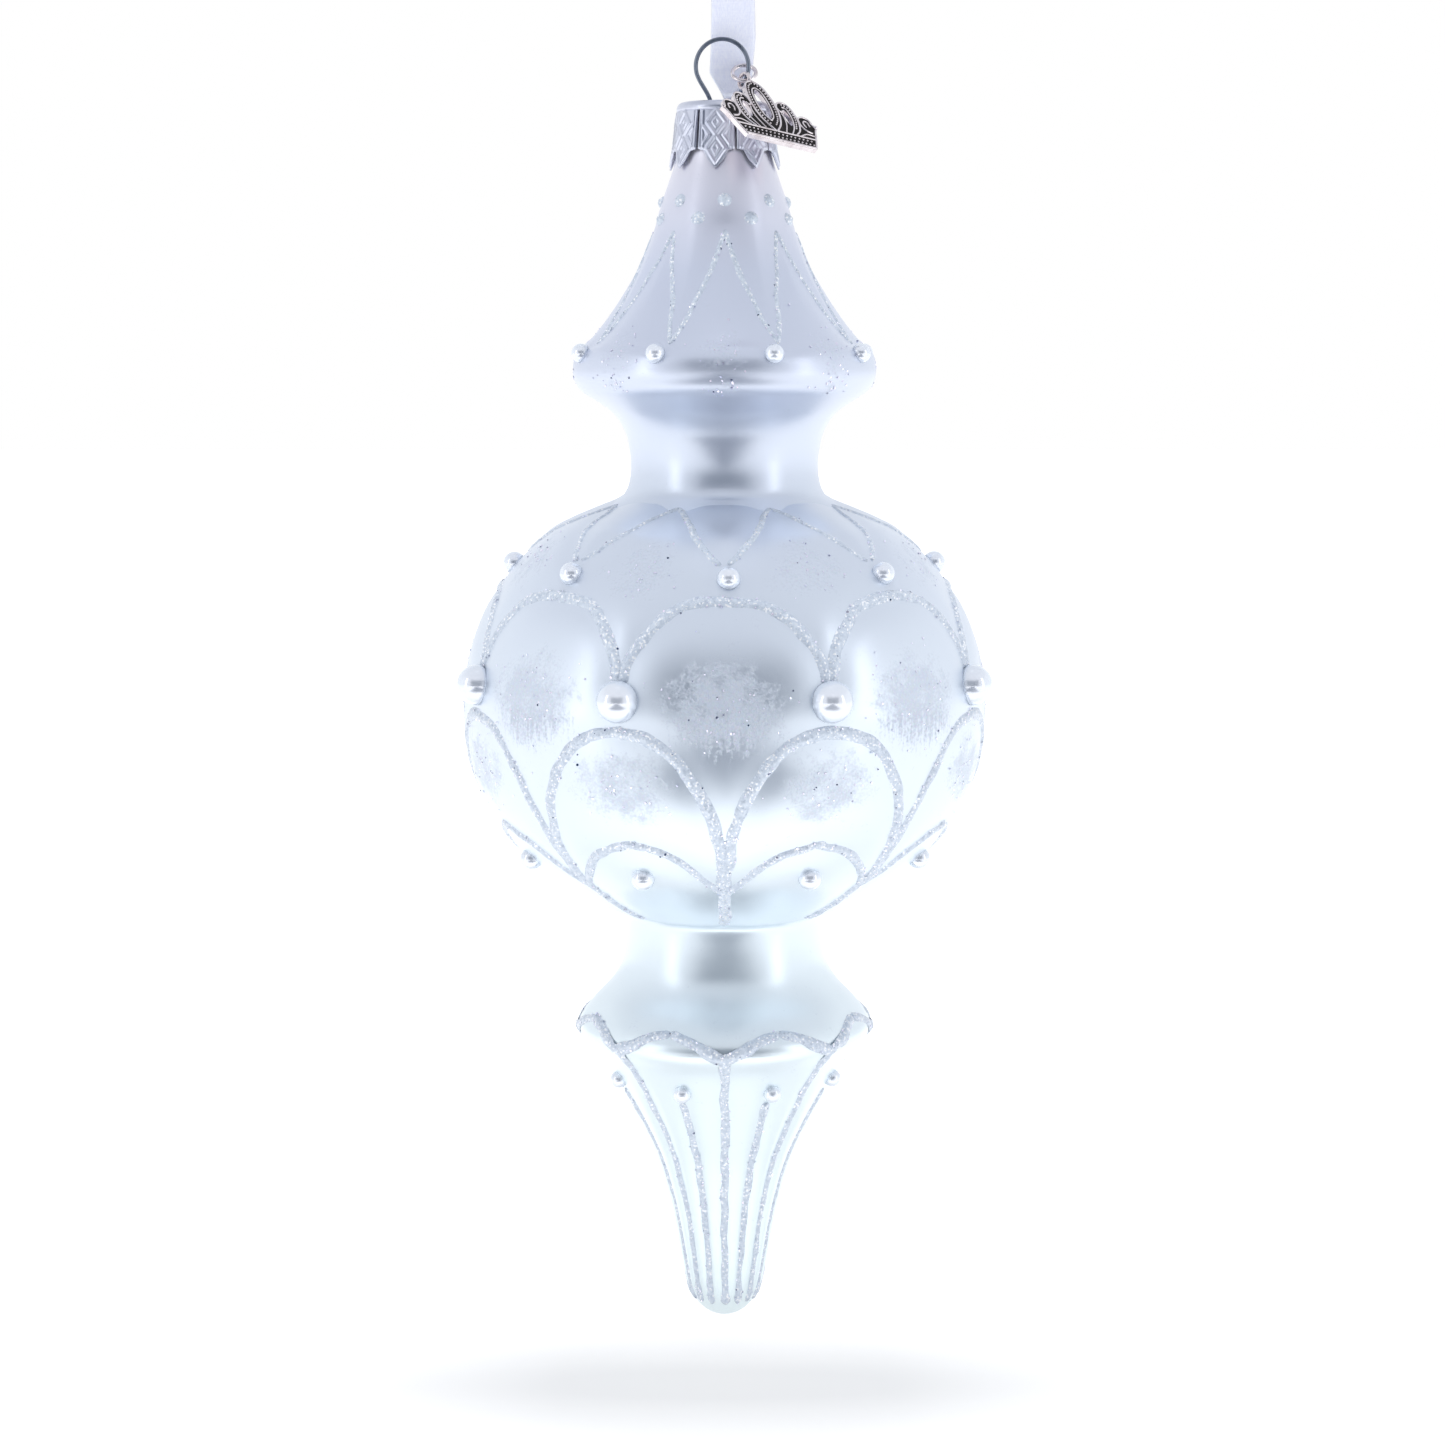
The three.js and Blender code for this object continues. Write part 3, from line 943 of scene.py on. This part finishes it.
def add_pearls():
    """A half pearl in the place and the size of each CAD one."""
    for name in sorted(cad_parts):
        if "_pearl_" not in name:
            continue
        corners = [v.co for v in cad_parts[name].data.vertices]
        middle = sum(corners, Vector()) / len(corners)
        turn = math.degrees(math.atan2(middle.x, -middle.y))
        radius = max((a - b).length for a in corners for b in corners) / 2
        seat = closest_seat(turn, middle)
        vertices, faces = pearl_mesh(radius)
        at, outward = on_glass(turn, seat, PEARL_LIFT)
        stand = outward.to_track_quat("Z", "Y").to_matrix()
        placed = [at + stand @ v for v in vertices]
        piece = new_piece(name.replace("pearl", "half_pearl"), placed, faces, PEARL, "glass", "pearl")
        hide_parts(name)


# ---- metal cap
CAP_TOP = 181.1
CAP_TURN = -9.8
TAB_TIP = 171.5
TABS = 8
TAB_STEPS = (44, 72)
TIN_THICK = 0.32


def cap_radius(height):
    """The cap's outside radius: a rounded shoulder, then a skirt that flares to its points."""
    if height > CAP_TOP - 1:
        drop = min(max(height - (CAP_TOP - 1), 0), 1)
        return 5.95 + math.sqrt(1 - drop * drop)
    return float(np.interp(height, [TAB_TIP, 174.2, CAP_TOP - 1], [8.2, 7.6, 6.95]))


def tab_half_width(height):
    """Half of a tab's width in millimetres, round the cap: a slit above, a point below."""
    half_pitch = math.pi * cap_radius(height) / TABS
    heights = [TAB_TIP, 172.6, 173.9, 174.15, 179.6, 180.2]
    return max(half_pitch - np.interp(height, heights, [3.1, 1.95, 1.2, 0.16, 0.16, 0]), 0.05)


def ridge(x, y, a, b, wide, tall):
    """The height that a raised line from a to b gives at x, y."""
    along = (b[0] - a[0], b[1] - a[1])
    size = along[0] ** 2 + along[1] ** 2
    share = min(max(((x - a[0]) * along[0] + (y - a[1]) * along[1]) / size, 0), 1)
    away = math.hypot(x - a[0] - share * along[0], y - a[1] - share * along[1])
    return tall * math.exp(-((away / wide) ** 2))


def tab_relief():
    """The raised lines of one tab: two ends as (across, height), then width and rise."""
    lines = []
    for side in (-1, 1):
        for top, middle, bottom in ((179.7, 177.9, 176.1), (176.1, 174.2, 172.1)):
            for reach, inset, wide, tall in ((1.35, 0, 0.17, 0.24), (0.486, 1.1, 0.13, 0.16)):
                corner = (side * reach, middle)
                lines.append(((0, top - inset), corner, wide, tall))
                lines.append((corner, (0, bottom + inset), wide, tall))
        for height in (177.4, 174.8):
            lines.append(((side * 2.0, height), (side * 1.05, 176.1), 0.16, 0.22))
        for across in (2.05, 2.5):
            lines.append(((side * across, 179.6), (side * across, 174.4), 0.13, 0.2))
    return lines


def add_cap():
    """The stamped skirt, tab by tab, each a plate with its raised pattern; then the top."""
    shape = Gathered()
    across, down = TAB_STEPS
    relief = tab_relief()
    high = CAP_TOP - 0.9
    for tab in range(TABS):
        middle = CAP_TURN + tab * 360 / TABS
        outer = []
        inner = []
        for j in range(down + 1):
            height = high + (TAB_TIP - high) * j / down
            half = tab_half_width(height)
            for i in range(across + 1):
                x = half * (2 * i / across - 1)
                rise = max(ridge(x, height, *line) for line in relief)
                rise *= smoothstep(half - abs(x), 0, 0.25)
                radius = cap_radius(height)
                angle = math.radians(middle) + x / radius
                levels = (radius + rise - 0.12, radius + 0.6 * rise - TIN_THICK)
                for level, wall in zip(levels, (outer, inner)):
                    wall.append(above_tip(level * math.sin(angle), -level * math.cos(angle), height))
        width = across + 1
        total = len(outer)
        faces = []
        for j in range(down):
            for i in range(across):
                a = j * width + i
                faces.append((a, a + width, a + width + 1, a + 1))
                faces.append((total + a, total + a + 1, total + a + width + 1, total + a + width))
        rim = [j * width for j in range(down)] + [down * width + i for i in range(across)]
        rim += [j * width + across for j in range(down, 0, -1)] + [i for i in range(across, 0, -1)]
        for a, b in zip(rim, rim[1:] + rim[:1]):
            faces.append((a, total + a, total + b, b))
        shape.add(outer + inner, faces)
    cap = new_piece("cap_stamped", shape.vertices, shape.faces, TIN, "hanger", "stamped_tin")
    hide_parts("metal_cap")
    add_cap_top()


LEG_HOLE_AT = 1.9
LEG_HOLE_RADIUS = 0.75


def add_cap_top():
    """The cap's flat top and shoulder, with a pressed ring and the two holes for the wire."""
    profile = []
    for k in range(9):
        angle = math.pi / 2 * k / 8
        profile.append((5.95 + math.cos(angle), CAP_TOP - 1 + math.sin(angle)))
    profile += [(5.2, CAP_TOP), (4.9, CAP_TOP - 0.12), (4.6, CAP_TOP - 0.12), (4.3, CAP_TOP)]
    outside = profile + [(0.02, CAP_TOP)]
    inside = [(r - 0.28 if r > 5.9 else r, h - TIN_THICK) for r, h in reversed(outside)]
    sides = 96
    vertices = []
    for radius, height in [(6.95, CAP_TOP - 1.35)] + outside + inside + [(6.65, CAP_TOP - 1.35)]:
        vertices += [above_tip(x, y, height) for x, y in round_section(radius, sides)]
    faces = rings_to_faces(len(vertices) // sides, sides, closed=True)
    top = new_piece("cap_top", vertices, faces, TIN, "hanger", "stamped_tin")
    for side in (-1, 1):
        drill = [above_tip(side * LEG_HOLE_AT, 0, CAP_TOP + end) for end in (-1, 1)]
        cut_through(top, *sweep(drill, lambda i: round_section(LEG_HOLE_RADIUS * MM, 32)))


def cut_through(piece, vertices, faces):
    cutter = add_object("tool", new_mesh("tool", vertices, faces))
    modifier = piece.modifiers.new("cut", "BOOLEAN")
    modifier.object = cutter
    modifier.operation = "DIFFERENCE"
    modifier.solver = "EXACT"
    result = finished_mesh(piece)
    piece.modifiers.clear()
    piece.data = result
    bpy.data.objects.remove(cutter)


# ---- wire hanger
WIRE_RADIUS = 0.31
EYE_RADIUS = 3.8
EYE_LEAN = math.radians(12)
EYE_MIDDLE = (-0.35, 5.1)


def add_wire():
    """One wire: up a leg, round the eye and down the other leg."""
    lean = math.tan(EYE_LEAN)
    points = []
    legs = [(4.5, 163.6), (3.4, 170), (2.4, 176), (1.9, CAP_TOP - 0.3)]
    points += [above_tip(-x, 0, h) for x, h in legs]
    for k in range(13):
        angle = math.radians(208 - k * 18.9)
        up = EYE_MIDDLE[1] + EYE_RADIUS * math.sin(angle)
        x = EYE_MIDDLE[0] + EYE_RADIUS * math.cos(angle)
        points.append(above_tip(x, -up * lean, CAP_TOP + up))
    points += [above_tip(x, 0, h) for x, h in reversed(legs)]
    line = spaced(curve_through(points, 12), 0.25 * MM)
    vertices, faces = sweep(line, lambda i: round_section(WIRE_RADIUS * MM, 16), Vector((0, 1, 0)))
    wire = new_piece("wire_eye_and_legs", vertices, faces, WIRE, "hanger", "steel_wire")
    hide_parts("wire_hanger")


# ---- crown charm
# The charm's own frame, as in part.mjs: across its base, up its face and out of its face.
CHARM_ACROSS = Vector((0.78, 0.609, -0.139)).normalized()
CHARM_OUT = CHARM_ACROSS.cross(Vector((-0.349, 0.609, 0.712))).normalized()
CHARM_UP = CHARM_OUT.cross(CHARM_ACROSS)
CHARM_HEIGHT = 13.0
CHARM_PEAK = above_tip(3.83, -3.1, 184.3)
CHARM_THICK = 0.9
FACE_LEVEL = -0.3
BAIL_AT = (0, CHARM_HEIGHT + 0.95, -1.3)
BAIL_RADIUS = 1.1
RING_WIRE = 0.3
JUMP_RING_RADIUS = 1.7
JUMP_RING_TILT = math.radians(45)

# Half of the crown's outline, from the middle of its base to its peak.
CROWN_SIDE = [(6.45, 0), (7.4, 2.2), (8.3, 4.3), (8.85, 5.1), (8.3, 5.6)]
SMALL_LOBE = [(8.3, 5.6), (7.9, 6.7), (6.8, 7.1), (5.8, 6.6), (5.5, 5.8)]
CURL_LOBE = [(5.5, 5.8), (5.5, 7.6), (4.9, 9.0), (3.8, 9.4), (2.8, 8.9), (2.3, 8.0)]
CENTRE_LOBE = [(2.3, 8.0), (2.2, 10.0), (1.5, 12.0), (0, 13.0)]
# Raised lines of one half: (radius, points).
FILIGREE = [
    (0.22, [(0, 0.2), (6.4, 0.2)]),
    (0.14, [(0, 2.25), (7.2, 2.25)]),
    (0.17, [(6.4, 0.25), (7.3, 2.2), (8.15, 4.3), (8.6, 5.05), (8.15, 5.5)]),
    (0.16, [(8.1, 5.5), (7.8, 6.5), (6.8, 6.9), (5.85, 6.45), (5.6, 5.6), (5.7, 4.7), (6.3, 3.9),
            (7.3, 3.6)]),
    (0.13, [(7.4, 5.0), (7.3, 5.9), (6.75, 6.05), (6.4, 5.5), (6.6, 4.7)]),
    (0.16, [(3.7, 2.3), (4.9, 3.6), (5.45, 5.4), (5.4, 7.5), (4.8, 8.85), (3.8, 9.2), (2.9, 8.75),
            (2.45, 7.9), (2.6, 7.2), (3.1, 7.0), (3.4, 7.4)]),
    (0.13, [(3.0, 2.4), (4.0, 4.0), (4.5, 5.8), (4.45, 7.4), (4.0, 8.1), (3.5, 8.1)]),
    (0.17, [(0.2, 2.3), (1.6, 4.2), (2.3, 6.8), (2.15, 9.8), (1.4, 11.9), (0, 12.8)]),
    (0.13, [(0, 4.4), (0.85, 5.5), (1.2, 7.6), (1.1, 9.6), (0.7, 10.8), (0, 11.3)]),
    (0.12, [(1.9, 2.5), (2.7, 4.2), (3.0, 5.8), (2.85, 6.7)]),
    (0.12, [(4.6, 2.4), (6.0, 3.1), (7.4, 3.0)]),
]
CROWN_HOLES = [(0, 7.9, 1.0, 3.1), (3.7, 6.0, 0.62, 1.7), (-3.7, 6.0, 0.62, 1.7)]


def on_charm(x, y, out):
    base = CHARM_PEAK - CHARM_UP * (CHARM_HEIGHT * MM)
    return base + (CHARM_ACROSS * x + CHARM_UP * y + CHARM_OUT * out) * MM


def plane_curve(points, steps=8):
    return curve_through([(x, y, 0) for x, y in points], steps)


def crown_plate():
    """The blackened back plate, cut out along the crown's edge and pierced by its holes."""
    right = [Vector((0, 0, 0))] + [Vector((x, y, 0)) for x, y in CROWN_SIDE]
    for lobe in (SMALL_LOBE, CURL_LOBE, CENTRE_LOBE):
        right += plane_curve(lobe)[1:]
    left = [Vector((-p.x, p.y, 0)) for p in reversed(right[1:-1])]
    data = bpy.data.curves.new("crown", "CURVE")
    data.dimensions = "2D"
    data.fill_mode = "BOTH"
    data.extrude = (CHARM_THICK + FACE_LEVEL) / 2
    data.bevel_depth = 0.05
    outlines = [[0.985 * p for p in right + left]]
    for x, y, wide, tall in CROWN_HOLES:
        circle = round_section(1, 32)
        outlines.append([Vector((x + wide * across, y + tall * up, 0)) for across, up in circle])
    for outline in outlines:
        spline = data.splines.new("POLY")
        spline.points.add(len(outline) - 1)
        spline.use_cyclic_u = True
        for point, at in zip(spline.points, outline):
            point.co = (at.x, at.y, 0, 1)
    holder = add_object("crown", data)
    mesh = finished_mesh(holder)
    bpy.data.objects.remove(holder)
    middle = (FACE_LEVEL - CHARM_THICK) / 2
    vertices = [on_charm(v.co.x, v.co.y, middle + v.co.z) for v in mesh.vertices]
    return vertices, [tuple(face.vertices) for face in mesh.polygons]


def beads(points, radius):
    """Small round beads, set half into the plate."""
    shape = Gathered()
    for x, y in points:
        vertices = []
        for ring in range(4):
            tall = ring / 4 * math.pi / 2
            out = FACE_LEVEL - 0.05 + (radius + 0.08) * math.sin(tall)
            for across, up in round_section(radius * math.cos(tall), 10):
                vertices.append(on_charm(x + across, y + up, out))
        shape.add(vertices, rings_to_faces(4, 10))
    return shape.vertices, shape.faces


def bead_places():
    places = []
    for row, height in enumerate((0.85, 1.6)):
        reach = 6.3 + 0.35 * height
        count = 18
        for k in range(count + row):
            x = -reach + 2 * reach * (k + 0.5 * (1 - row)) / count
            if abs(x) < reach:
                places.append((x, height))
    for side in (-1, 1):
        middle = [(0.55, 3.7), (1.4, 5.1), (1.83, 7.2), (1.7, 9.7), (1.1, 11.4), (0.3, 12.15)]
        border = spaced(plane_curve(middle), 0.52)
        places += [(side * p.x, p.y) for p in border]
        curl = spaced(plane_curve([(4.35, 3.9), (5.0, 5.6), (5.0, 7.4), (4.5, 8.4), (3.7, 8.7)]), 0.5)
        places += [(side * p.x, p.y) for p in curl]
    return places


def add_crown():
    """The raised scrolls, beads and bail in silver, on the blackened plate."""
    raised = Gathered()
    for radius, points in FILIGREE:
        for side in (-1, 1):
            flat = spaced(plane_curve(points), 0.16)
            line = [on_charm(side * p.x, p.y, FACE_LEVEL + 0.02) for p in flat]
            oval = [(a, b * 1.05) for a, b in round_section(radius * MM, 10)]
            raised.add(*sweep(line, lambda i, oval=oval: oval, CHARM_OUT))
    raised.add(*beads(bead_places(), 0.17))
    raised.add(*beads([(side * 8.45, 5.1) for side in (-1, 1)], 0.36))
    x, y, out = BAIL_AT
    bail = [on_charm(x, y + up, out + away) for up, away in round_section(BAIL_RADIUS, 48)]
    raised.add(*sweep(bail, lambda i: round_section(RING_WIRE * MM, 14), CHARM_ACROSS, closed=True))
    crown = new_piece("crown_filigree", raised.vertices, raised.faces, SILVER, "charm", "antiqued_silver")
    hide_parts("crown_charm")
    plate = new_piece("crown_plate", *crown_plate(), PATINA, "charm", "antiqued_silver", smooth=False)
    edge_in_silver(plate)


def edge_in_silver(plate):
    """The plate's cut edge and back are polished; only its face stays black."""
    plate.data.materials.append(SILVER)
    for face in plate.data.polygons:
        face.material_index = 0 if face.normal.dot(CHARM_OUT) > 0.7 else 1


def add_jump_ring():
    """A round ring with its cut ends nearly closed, through the bail and behind the wire."""
    radius = JUMP_RING_RADIUS * MM
    up = Vector((0, math.cos(JUMP_RING_TILT), math.sin(JUMP_RING_TILT)))
    middle = on_charm(*BAIL_AT) + up * radius
    line = []
    for k in range(73):
        angle = math.radians(64 + 352 * k / 72)
        line.append(middle + (Vector((1, 0, 0)) * math.cos(angle) + up * math.sin(angle)) * radius)
    vertices, faces = sweep(line, lambda i: round_section(RING_WIRE * MM, 16))
    ring = new_piece("jump_ring_cut", vertices, faces, SILVER, "jump_ring", "antiqued_silver")
    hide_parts("jump_ring")


add_glass()
add_lines()
add_dots()
add_flakes()
add_pearls()
add_cap()
add_wire()
add_crown()
add_jump_ring()

# ---- studio
FLOOR_DROP = 11.5
LIGHTS_AIM = (0, 0, -0.1)
SOFTBOX_SIZE = (0.14, 1.1)
LAMP_SIZE = (0.4, 0.4)
WHITE = (1, 1, 1, 1)
FRONT_LIGHT = (0.69, 0.71, 0.76, 1)
BACK_LIGHT = (1.0, 1.02, 1.05, 1)
TOP_LIGHT = (0.77, 0.79, 0.84, 1)
DIM_FRONT = (0.01, 0.04, 0.09, 1)


def add_sheet(name, low, high, lift, material):
    """A flat sheet of the studio, lying level."""
    at = TIP - FLOOR_DROP * MM + lift
    corners = [(low[0], low[1], at), (high[0], low[1], at), (high[0], high[1], at), (low[0], high[1], at)]
    sheet = add_object(name, new_mesh(name, corners, [(0, 1, 2, 3)]))
    sheet.data.materials.append(material)
    return sheet


def add_floor():
    """The floor, and the card under the camera that the polished pieces mirror as a dark patch: a painted
    dark reflection, since only their reflections see it.
    """
    add_sheet("floor", (-4, -4), (4, 4), 0, glowing_floor_painted_shadow())
    card = add_sheet("mirrored_card", (-0.2, -1.5), (0.2, -0.12), 0.5 * MM, dark_reflection_card())
    card.visible_camera = False
    card.visible_diffuse = False
    card.visible_shadow = False


def add_light(name, at, size, power, mirrored):
    data = bpy.data.lights.new(name, "AREA")
    data.shape = "RECTANGLE"
    data.size, data.size_y = size
    data.energy = power
    light = add_object(name, data)
    light.location = at
    light.visible_glossy = mirrored
    light.rotation_euler = (Vector(LIGHTS_AIM) - Vector(at)).to_track_quat("-Z", "Y").to_euler()


def add_world():
    """Plain white to look at. As light it is white behind, cooler overhead and dimmer in front."""
    scene.world = bpy.data.worlds.new("studio")
    m = Nodes(scene.world)
    way = m.split(m.coordinates["Generated"])

    def blend(value, low, high, first, second):
        return m.mix(m.range(value, low, high, interpolation_type="SMOOTHSTEP"), first, second)

    level = blend(way["Y"], -0.95, 0.05, FRONT_LIGHT, BACK_LIGHT)
    level = blend(way["Z"], 0.2, 0.8, level, TOP_LIGHT)
    gap = blend(m.maths("ABSOLUTE", way["X"]), 0.39, 0.62, DIM_FRONT, level)
    gap = blend(way["Z"], 0.38, 0.62, gap, level)
    level = blend(way["Y"], -0.60, -0.40, gap, level)
    seen = m.add("ShaderNodeLightPath").outputs["Is Camera Ray"]
    m.feed(blend(seen, 0, 1, level, WHITE), m.tree.nodes["Background"].inputs["Color"])


add_floor()
add_world()
for name, side in (("left_softbox", -1), ("right_softbox", 1)):
    add_light(name, (side * 0.90, -0.48, 0), SOFTBOX_SIZE, 0.9, mirrored=True)
add_light("front_fill", (0, -1.0, 0.6), LAMP_SIZE, 0.8, mirrored=False)
add_light("overhead", (0, 0, 1.2), LAMP_SIZE, 5, mirrored=False)
scene.view_settings.view_transform = "Standard"
